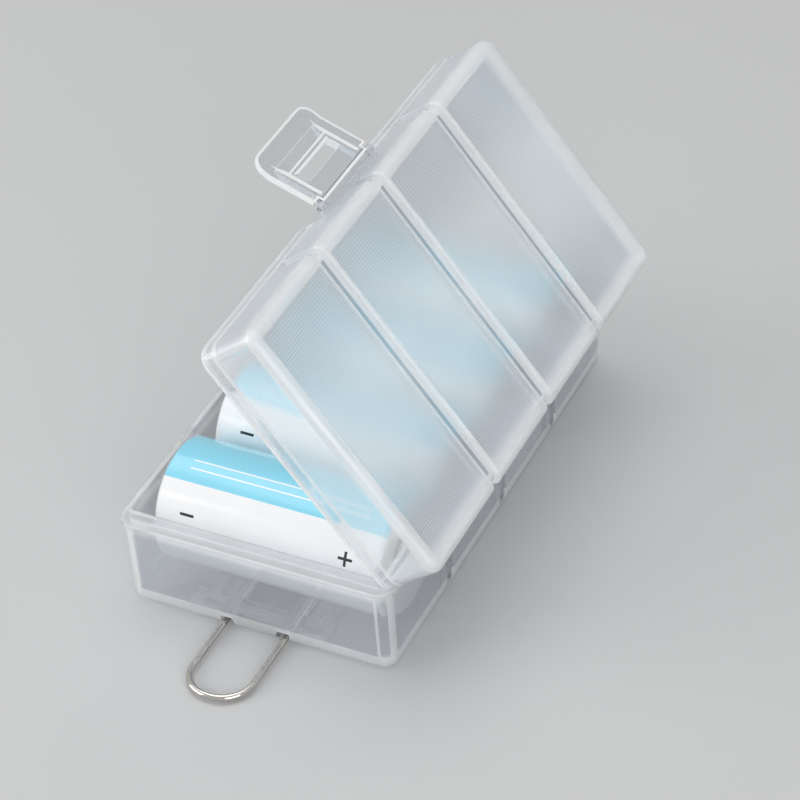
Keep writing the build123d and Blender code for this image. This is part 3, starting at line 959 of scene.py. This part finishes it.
@dataclass
class BaseTray:
    """The frosted tray with its bays, floor and hinge ears."""

    edge_rounding: float = 0.16 * MM
    foot_level: float = 4.8 * MM
    rim_level: float = 25.3 * MM
    lip_span: Span = (27.7 * MM, 29.6 * MM)
    lip_slope: float = 0.5
    half_width: float = 38.35 * MM
    half_length: float = 69.35 * MM
    skin: float = 1.2 * MM
    corner_reach: float = 3.9 * MM
    corner_turn: float = 0.08
    corner_side: float = 0.75
    corner_end: float = 0.97
    flat: float = 0.98
    bail_middle: float = -1.1 * MM
    channel_reach: float = 21.0 * MM
    channel_end: float = -30.0 * MM
    channel_levels: Span = (1.8 * MM, 4.3 * MM)
    channel_slopes: Span = (0.25, 0.97)
    wall_finish: FrostedFinish = FrostedFinish(
        "frosted_tray_walls",
        (0.75, 0.77, 0.80),
        roughness=0.04,
        transmission=0.78,
        whitens=(23.0 * MM, 24.6 * MM),
    )
    # Paler, less clear plastic painted as highlights along the rim, foot, upright corners and the
    # channel's edges.
    highlight_border_finish: FrostedFinish = FrostedFinish(
        "frosted_tray_highlight_borders", (0.89, 0.90, 0.91), roughness=0.15, transmission=0.52
    )
    lip_finish: FrostedFinish = FrostedFinish(
        "frosted_tray_lip", (0.82, 0.83, 0.85), roughness=0.06, transmission=0.72
    )

    def _channel(self, centre: Vector, normal: Vector) -> bool:
        """True for a face on the edges of the bail's channel, which get a painted highlight."""
        (low, high), (least, most) = self.channel_levels, self.channel_slopes
        near = abs(centre.x - self.bail_middle) < self.channel_reach and centre.y < self.channel_end
        return near and low < centre.z < high and least < normal.z < most

    def _part(self, centre: Vector, normal: Vector) -> TrayPart:
        """Which kind of surface a face is.

        Args:
            centre: the face's centre.
            normal: its direction.

        Returns:
            The rim, the foot, parts of the upright corners and the channel's edges are borders,
            painted pale as highlights.
        """
        low, high = self.lip_span
        if low < centre.z < high and abs(normal.z) < self.lip_slope:
            return TrayPart.LIP
        out_x = self.half_width - abs(centre.x)
        out_y = self.half_length - abs(centre.y)
        sideways, endways = abs(normal.x), abs(normal.y)
        rim = centre.z > self.rim_level
        corner = max(out_x, out_y) < self.corner_reach and min(sideways, endways) > self.corner_turn
        outer = corner or min(out_x, out_y) < self.skin
        foot = outer and centre.z < self.foot_level and abs(normal.z) < self.flat
        # Upright corners get the painted highlight only on the half with negative x and on faces
        # turned towards +x.
        hinge_side = normal.x > self.corner_side or (normal.x > 0 and endways > self.corner_end)
        upright = corner and (centre.x < 0 or hinge_side)
        border = rim or foot or upright or self._channel(centre, normal)
        return TrayPart.BORDER if border else TrayPart.WALL

    def build(self) -> None:
        """Copies the tray, rounds its edges and dresses it."""
        finishes = (self.wall_finish, self.highlight_border_finish, self.lip_finish)
        piece = Piece("base_tray", "frosted_tray")
        piece.round_edges(self.edge_rounding)
        piece.cut((UP * self.foot_level, UP))
        piece.smooth()
        coat(piece.object, *(finish.material() for finish in finishes))
        piece.sort_faces(self._part)
        piece.settle("base")


@dataclass
class Lid:
    """The frosted lid with its four textured panels. Heights are above the hinge."""

    hinge: Point = (39.75 * MM, 0.0, 27.4 * MM)
    rest_angle: float = 53.0
    edge_rounding: float = 0.16 * MM
    inside_level: float = 17.0 * MM
    border_level: float = 15.4 * MM
    rim_edge: float = 1.0 * MM
    band_height: float = 3.9 * MM
    slope_top: float = 5.1 * MM
    slope_range: Span = (0.15, 0.9)
    groove_half: float = 2.4 * MM
    grooves: tuple[int, ...] = (-1, 0, 1)
    shade_line_edge: float = 0.4 * MM
    grid_slack: float = 0.12 * MM
    panel_facing: float = 0.9
    under_facing: float = -0.99
    top_facing: float = -0.5
    end_facing: float = 0.85
    side_whitens: Span = (13.0 * MM, 16.0 * MM)
    end_whitens: Span = (14.0 * MM, 16.0 * MM)
    grid: PanelGrid = PanelGrid()

    def _materials(self) -> list[Material]:
        """The plastic of each kind of surface.

        Returns:
            The materials, in the order of the kinds.
        """
        made = partial(FrostedFinish, origin=self.hinge, turn=(0.0, self.rest_angle, 0.0))
        # The numbers after a colour are the roughness and the transmission
        finishes = {
            LidPart.WALL: made(
                "frosted_lid_sides", (0.78, 0.795, 0.82), 0.24, 0.62, whitens=self.side_whitens
            ),
            LidPart.END: made(
                "frosted_lid_ends", (0.91, 0.935, 0.95), 0.10, 0.76, whitens=self.end_whitens
            ),
            # Paler, less clear plastic painted on the edge roundings, the rim's edge and the
            # grooves' faces as highlights.
            LidPart.BORDER: made("frosted_lid_borders", (0.88, 0.89, 0.90), 0.22, 0.45),
            LidPart.PANEL: made(
                "frosted_lid_panels", (0.92, 0.93, 0.94), 0.36, 0.66, grid=self.grid
            ),
            # Painted shade: a dark tint for the near wall of each groove.
            LidPart.LINE: made("frosted_groove_lines", (0.40, 0.47, 0.52), 0.08, 0.80),
            LidPart.RIM: made("frosted_lid_rim", (0.80, 0.815, 0.84), 0.05, 0.82),
        }
        return [finishes[kind].material() for kind in LidPart]

    @cached_property
    def _turn(self) -> Matrix:
        """The turn from the closed lid to the open one."""
        return Matrix.Rotation(math.radians(self.rest_angle), 3, "Y")

    def _closed(self, place: Vector) -> Vector:
        """A place as it is on the closed lid, from the hinge."""
        return self._turn.transposed() @ (place - Vector(self.hinge))

    def _part(self, centre: Vector, normal: Vector) -> LidPart:
        """Which kind of surface a face is.

        Args:
            centre: the face's centre.
            normal: its direction.

        Returns:
            The kind of surface.
        """
        place = self._closed(centre)
        facing = self._turn.transposed() @ normal
        low, high = self.grid.side_range
        across = low < place.x < high
        offset = min((place.y - n * self.grid.groove_pitch for n in self.grooves), key=abs)
        inner = across and any(front < place.y < rear for front, rear in self.grid.panels)
        if inner and facing.z > self.panel_facing and place.z > self.grid.level:
            return LidPart.PANEL
        if facing.z < self.under_facing and place.z > self.inside_level:
            return LidPart.END
        groove = abs(offset) < self.groove_half and place.z > self.slope_top
        top = place.z > self.border_level and facing.z > self.top_facing
        # The near wall of a groove, on top, gets the dark line of painted shade.
        line = groove and top and across and offset < self.shade_line_edge
        if line and place.z < self.grid.level:
            return LidPart.LINE
        least, most = self.slope_range
        over_band = self.band_height < place.z < self.slope_top
        slope = over_band and least < abs(facing.z) < most
        # Painted highlight: edge roundings, groove faces on top and the rim's lower edge take the
        # pale border finish.
        if top or slope or place.z < self.rim_edge:
            return LidPart.BORDER
        if place.z < self.band_height:
            return LidPart.RIM
        end = abs(facing.y) > self.end_facing and not groove
        return LidPart.END if end else LidPart.WALL

    def _cuts(self) -> list[Plane]:
        """Planes along the edges of the panels, of the painted shade lines in the grooves and of
        the rim.

        Returns:
            A point and a direction for each plane.
        """
        across, up, hinge = self._turn @ ACROSS, self._turn @ UP, Vector(self.hinge)
        lines = [n * self.grid.groove_pitch + self.shade_line_edge for n in self.grooves]
        ends = [end for panel in self.grid.panels for end in panel]
        sides = [(hinge + across * x, across) for x in self.grid.side_range]
        rim = (hinge + up * self.rim_edge, up)
        return sides + [rim] + [(hinge + ALONG * y, ALONG) for y in (*ends, *lines)]

    def _on_panel(self, place: Vector, panel: Span, inset: float) -> bool:
        """True for a place on a panel's face.

        Args:
            place: the place, on the closed lid.
            panel: lowest and highest y of the panel.
            inset: how far inside the panel's outline it has to be.

        Returns:
            Whether it is.
        """
        sides = zip(place, (self.grid.side_range, panel))
        inside = all(low + inset < at < high - inset for at, (low, high) in sides)
        return inside and place.z > self.grid.level

    def _runs(self, panel: Span, axis: int, start: Vector, end: Vector) -> bool:
        """True for an edge of a panel's face that runs along an axis.

        Args:
            panel: lowest and highest y of the panel.
            axis: 0 for across the lid, 1 for along it.
            start: one end of the edge.
            end: the other end.

        Returns:
            Whether it does.
        """
        ends = [self._closed(place) for place in (start, end)]
        level = abs(ends[0][1 - axis] - ends[1][1 - axis]) < self.grid_slack
        return level and all(self._on_panel(place, panel, -self.grid_slack) for place in ends)

    def _sinks(self, panel: Span, point: Vector) -> bool:
        """True for a point of a panel's grid between the bumps.

        Args:
            panel: lowest and highest y of the panel.
            point: the point.

        Returns:
            Whether it is.
        """
        place = self._closed(point)
        half = self.grid.pitch / 2
        starts = (self.grid.side_range[0], panel[0])
        odd = [round((at - start) / half) % 2 for at, start in zip(place, starts)]
        return self._on_panel(place, panel, self.grid_slack) and not all(odd)

    def _emboss(self, piece: Piece) -> None:
        """Divides the panels into a fine grid and sinks all of it but the bumps.

        Args:
            piece: the lid.
        """
        sink = self._turn @ UP * -self.grid.depth
        for panel, (first, last) in zip(self.grid.panels, self.grid.columns):
            across, along = (partial(self._runs, panel, axis) for axis in (0, 1))
            piece.split(across, self.grid.rows - 1)
            piece.split(across, 1)
            piece.split(along, 2 * (last - first) - 1)
            piece.shift(partial(self._sinks, panel), sink)

    def build(self) -> None:
        """Copies the lid, rounds its edges, embosses its panels and dresses it."""
        piece = Piece("lid_shell", "frosted_lid")
        piece.round_edges(self.edge_rounding)
        piece.cut(*self._cuts())
        self._emboss(piece)
        piece.smooth()
        coat(piece.object, *self._materials())
        piece.sort_faces(self._part)
        piece.settle("lid")


@dataclass
class Latch:
    """The clear latch clip. Distances down it are from its pivot."""

    edge_rounding: float = 0.22 * MM
    pivot: Point = (-1.65 * MM, 0.0, 97.63 * MM)
    plate_turn: float = 111.0
    highlight_band: float = 0.75 * MM
    broad_area: float = 50.0 * MM * MM
    outer_facing: float = 0.9
    plate_facing: float = 0.95
    flange_sides: Span = (9.65 * MM, 10.85 * MM)
    flange_span: Span = (1.8 * MM, 16.8 * MM)
    flange_taper: float = 4.0 * MM
    bar_span: Span = (11.2 * MM, 11.75 * MM)
    barrel_reach: float = 1.75 * MM
    window_half: float = 8.5 * MM
    window_span: Span = (6.2 * MM, 9.7 * MM)
    plate_finish: ClearFinish = ClearFinish(
        "clear_clip_plastic", (0.77, 0.795, 0.82), roughness=0.06, transmission=0.86
    )
    # Near-white, barely clear plastic painted on the outline, cut edges, flanges and catch bar as
    # highlights.
    highlight_finish: ClearFinish = ClearFinish(
        "clear_clip_highlight_edges", (0.97, 0.975, 0.98), roughness=0.25, transmission=0.10
    )

    def _outward(self) -> Vector:
        """The way that the plate's outer face looks."""
        turn = math.radians(self.plate_turn)
        return Vector((-math.cos(turn), 0.0, math.sin(turn)))

    def _down(self) -> Vector:
        """The way from the pivot to the tip."""
        turn = math.radians(self.plate_turn)
        return Vector((-math.sin(turn), 0.0, -math.cos(turn)))

    def _reach(self, place: Vector) -> float:
        """How far a place is down the clip."""
        return (place - Vector(self.pivot)).dot(self._down())

    def _is_plate(self, face: bpy.types.MeshPolygon) -> bool:
        """True for the broad outer faces of the plate and of its tip."""
        outer = face.normal.dot(self._outward()) > self.outer_facing
        return outer and face.area > self.broad_area

    def _cuts(self) -> list[Plane]:
        """Planes along the flanges and the catch bar.

        Returns:
            A point and a direction for each plane.
        """
        down, pivot = self._down(), Vector(self.pivot)
        near, far = self.flange_sides
        planes = [(pivot + down * reach, down) for reach in (*self.flange_span, *self.bar_span)]
        for side in (-ALONG, ALONG):
            planes += [(pivot + side * reach, ALONG) for reach in self.flange_sides]
            slant = side * self.flange_taper - down * (far - near)
            planes.append((pivot + side * far + down * self.flange_span[1], slant.normalized()))
        return planes

    def _clear_window(self, piece: Piece) -> None:
        """Takes the painted highlight band off three sides of the window, all but that along the
        catch bar.

        Args:
            piece: the clip.
        """
        top, foot = self.window_span
        for face in piece.mesh.polygons:
            beside = abs(face.center.y) < self.window_half + self.highlight_band
            if beside and top - self.highlight_band < self._reach(face.center) < foot:
                face.material_index = ClipPart.PLATE.value

    def _part(self, centre: Vector, normal: Vector) -> ClipPart:
        """Which kind of surface a face is, apart from the band round the outline.

        Args:
            centre: the face's centre.
            normal: its direction.

        Returns:
            The cut edges, and the plate over the flanges and the bar's end, are edges with a
            painted highlight.
        """
        tilt = normal.dot(self._outward())
        reach = self._reach(centre)
        if reach < self.barrel_reach:
            return ClipPart.PLATE
        if abs(tilt) < self.plate_facing:
            return ClipPart.EDGE
        near, far = self.flange_sides
        start, end = self.flange_span
        slant = (reach - end + self.flange_taper) / self.flange_taper
        run_out = max(0.0, slant) * (far - near)
        flange = start < reach < end and near + run_out < abs(centre.y) < far
        bar = self.bar_span[0] < reach < self.bar_span[1] and abs(centre.y) < near
        return ClipPart.EDGE if tilt > 0 and (flange or bar) else ClipPart.PLATE

    def build(self) -> None:
        """Copies the clip, rounds its edges and paints a highlight round its outline."""
        finishes = (self.plate_finish, self.highlight_finish)
        piece = Piece("latch_clip", "clear_clip")
        coat(piece.object, *(finish.material() for finish in finishes))
        # A band of painted highlight round the outline of the plate's broad faces.
        piece.band(self._is_plate, self.highlight_band, ClipPart.EDGE)
        self._clear_window(piece)
        piece.round_edges(self.edge_rounding)
        piece.cut(*self._cuts())
        piece.smooth()
        piece.sort_faces(self._part)
        piece.settle("latch")


@dataclass(frozen=True)
class Turned:
    """How a round piece is finished."""

    rounding: float
    round_angle: float = 40.0
    steps: int = 2
    smooth_angle: float = 40.0

    def make(self, node: str, name: str, material: Material, body: str, slot: Slot) -> None:
        """Copies a node, rounds and smooths it, and dresses it.

        Args:
            node: the node's name.
            name: the piece's name.
            material: its material.
            body: the CAD body that it moves with.
            slot: the record's material slot; not used.
        """
        piece = Piece(node, name)
        piece.round_edges(self.rounding, self.round_angle, self.steps)
        piece.smooth(self.smooth_angle)
        coat(piece.object, material)
        piece.settle(body)


@dataclass
class Bail:
    """The hanging bail of plated wire."""

    form: Turned = Turned(0.2 * MM, round_angle=60.0, steps=3)
    finish: MetalFinish = MetalFinish(
        "bright_plated_wire", (0.62, 0.59, 0.55), roughness=0.06, worn=0.3
    )

    def build(self) -> None:
        """Makes the wire."""
        wire = self.finish.material()
        self.form.make("hanging_bail", "bright_bail", wire, "bail", Slot.BRIGHT_WIRE)


@dataclass
class HingePins:
    """The two steel pins of the lid hinge."""

    form: Turned = Turned(0.18 * MM, round_angle=38.0, smooth_angle=32.0)
    finish: MetalFinish = MetalFinish(
        "hinge_pin_steel", (0.72, 0.71, 0.69), roughness=0.18, stretch=(1.0, 8.0, 1.0)
    )

    def build(self) -> None:
        """Makes the pins."""
        steel = self.finish.material()
        for end in ("front", "rear"):
            names = f"hinge_pin_{end}", f"steel_pin_{end}"
            self.form.make(*names, steel, "base", Slot.PIN_STEEL)


@dataclass
class Cells:
    """The row of four cells, each with its film, can, cap and inner pieces."""

    start_x: float = -31.7 * MM
    places: tuple[float, ...] = (-47.228 * MM, -14.378 * MM, 18.472 * MM, 51.322 * MM)
    axis_height: float = 20.3 * MM
    edge_angles: tuple[float, ...] = (122.0, 118.0, 124.0, 119.0)
    film_form: Turned = Turned(0.5 * MM, round_angle=30.0, steps=3, smooth_angle=50.0)
    can_form: Turned = Turned(0.2 * MM)
    cap_form: Turned = Turned(0.5 * MM)
    can_finish: MetalFinish = MetalFinish("cell_can_steel", (0.66, 0.65, 0.63), roughness=0.24)
    cap_finish: MetalFinish = MetalFinish("cell_cap_steel", (0.70, 0.69, 0.67), roughness=0.20)
    roll_finish: SolidFinish = SolidFinish(
        "electrode_foil", (0.06, 0.06, 0.065), roughness=0.5, second_colour=(0.16, 0.15, 0.14)
    )
    gasket_finish: SolidFinish = SolidFinish(
        "gasket_plastic", (0.09, 0.09, 0.10), roughness=0.45, second_colour=(0.06, 0.06, 0.065)
    )
    washer_finish: SolidFinish = SolidFinish(
        "washer_card", (0.82, 0.81, 0.78), roughness=0.75, second_colour=(0.74, 0.73, 0.70)
    )

    def build(self) -> None:
        """Builds the four cells."""
        can_steel = self.can_finish.material()
        cap_steel = self.cap_finish.material()
        inner = {
            "electrode_roll": self.roll_finish.material(),
            "gasket": self.gasket_finish.material(),
            "washer": self.washer_finish.material(),
        }
        for number, (place, angle) in enumerate(zip(self.places, self.edge_angles), start=1):
            body = f"cell_{number}"
            origin = (self.start_x, place, self.axis_height)
            finish = FilmFinish(f"{body}_printed_film", origin=origin, edge_angle=angle)
            film = finish.material()
            self.film_form.make(f"{body}_sleeve", f"{body}_film", film, body, Slot.SLEEVE)
            self.can_form.make(f"{body}_can", f"{body}_shell", can_steel, body, Slot.CELL_STEEL)
            self.cap_form.make(f"{body}_cap", f"{body}_terminal", cap_steel, body, Slot.CELL_STEEL)
            for kind, material in inner.items():
                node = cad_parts[f"{body}_{kind}"]
                coat(node, material)
                log.info("%s keeps its solid", node.name)


@dataclass(frozen=True)
class Softbox:
    """A soft rectangular lamp."""

    name: str
    place: Point
    target: Point
    size: Span
    power: float

    def hang(self) -> None:
        """Hangs the lamp and turns it to its target."""
        data = bpy.data.lights.new(self.name, "AREA")
        data.shape = "RECTANGLE"
        data.size, data.size_y = self.size
        data.energy = self.power
        lamp = bpy.data.objects.new(self.name, data)
        bpy.context.scene.collection.objects.link(lamp)
        lamp.location = self.place
        aim = Vector(self.target) - Vector(self.place)
        lamp.rotation_euler = aim.to_track_quat("-Z", "Y").to_euler()


@dataclass
class Studio:
    """Floor, soft lamps, surroundings and the camera at the photograph's angle."""

    floor_size: float = 8.0
    floor_finish: Finish = Finish("pale_floor_paint", (0.62, 0.625, 0.63), roughness=0.55)
    lamps: tuple[Softbox, ...] = (
        Softbox(
            "overhead_softbox", (-0.10, 0.25, 1.10), (0.0, 0.0, 0.03), size=(1.1, 0.8), power=5.2
        ),
        Softbox("left_softbox", (-0.85, -0.60, 0.42), (0.0, 0.0, 0.04), size=(0.9, 0.7), power=5.5),
        Softbox("right_softbox", (0.80, -0.85, 0.45), (0.0, 0.0, 0.05), size=(0.9, 0.7), power=5.6),
    )
    surround: float = 0.42
    backdrop: float = 0.80
    camera_place: Point = (0.3026, -0.5429, 0.5341)
    camera_across: Point = (0.9008, 0.4299, -0.0612)
    camera_up: Point = (-0.2309, 0.5936, 0.7709)
    lens: float = 134.95
    sensor: float = 36.0
    clip: Span = (0.05, 50.0)

    def build(self) -> None:
        """Sets up the whole studio."""
        self._floor()
        self._surroundings()
        for lamp in self.lamps:
            lamp.hang()
        self._camera()
        bpy.context.scene.view_settings.view_transform = "Standard"

    def _floor(self) -> None:
        """Makes the plain pale floor."""
        bpy.ops.object.select_all(action="DESELECT")
        bpy.ops.mesh.primitive_plane_add(size=self.floor_size)
        floor = bpy.context.active_object
        floor.name = "pale_floor"
        coat(floor, self.floor_finish.material())

    def _surroundings(self) -> None:
        """Lights the scene evenly and shows a pale backdrop."""
        world = bpy.data.worlds.new("pale_studio")
        bpy.context.scene.world = world
        world.use_nodes = True
        world.node_tree.nodes.clear()
        graph = Graph(world.node_tree)
        path = graph.add("ShaderNodeLightPath").outputs
        seen = graph.math("MAXIMUM", path["Is Camera Ray"], path["Is Glossy Ray"])
        seen = graph.math("MAXIMUM", seen, path["Is Transmission Ray"])
        tones = []
        for strength in (self.surround, self.backdrop):
            tones.append(graph.add("ShaderNodeBackground", {"Strength": strength}).outputs[0])
        graph.add("ShaderNodeOutputWorld", {"Surface": graph.choose(seen, *tones)})

    def _camera(self) -> None:
        """Puts the camera where the photograph was taken from."""
        data = bpy.data.cameras.new("photo_camera")
        data.lens = self.lens
        data.sensor_width = self.sensor
        data.sensor_fit = "HORIZONTAL"
        data.clip_start, data.clip_end = self.clip
        camera = bpy.data.objects.new("photo_camera", data)
        bpy.context.scene.collection.objects.link(camera)
        across = Vector(self.camera_across).normalized()
        up = Vector(self.camera_up)
        up = (up - across * up.dot(across)).normalized()
        turn = Matrix((across, up, across.cross(up))).transposed().to_4x4()
        camera.matrix_world = Matrix.Translation(Vector(self.camera_place)) @ turn
        bpy.context.scene.camera = camera


def main() -> None:
    """Builds every sub-assembly in order."""
    logging.basicConfig(level=logging.INFO, format="%(name)s: %(message)s")
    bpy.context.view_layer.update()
    for assembly in (BaseTray(), HingePins(), Lid(), Latch(), Bail(), Cells(), Studio()):
        assembly.build()


if __name__ == "__main__":
    main()
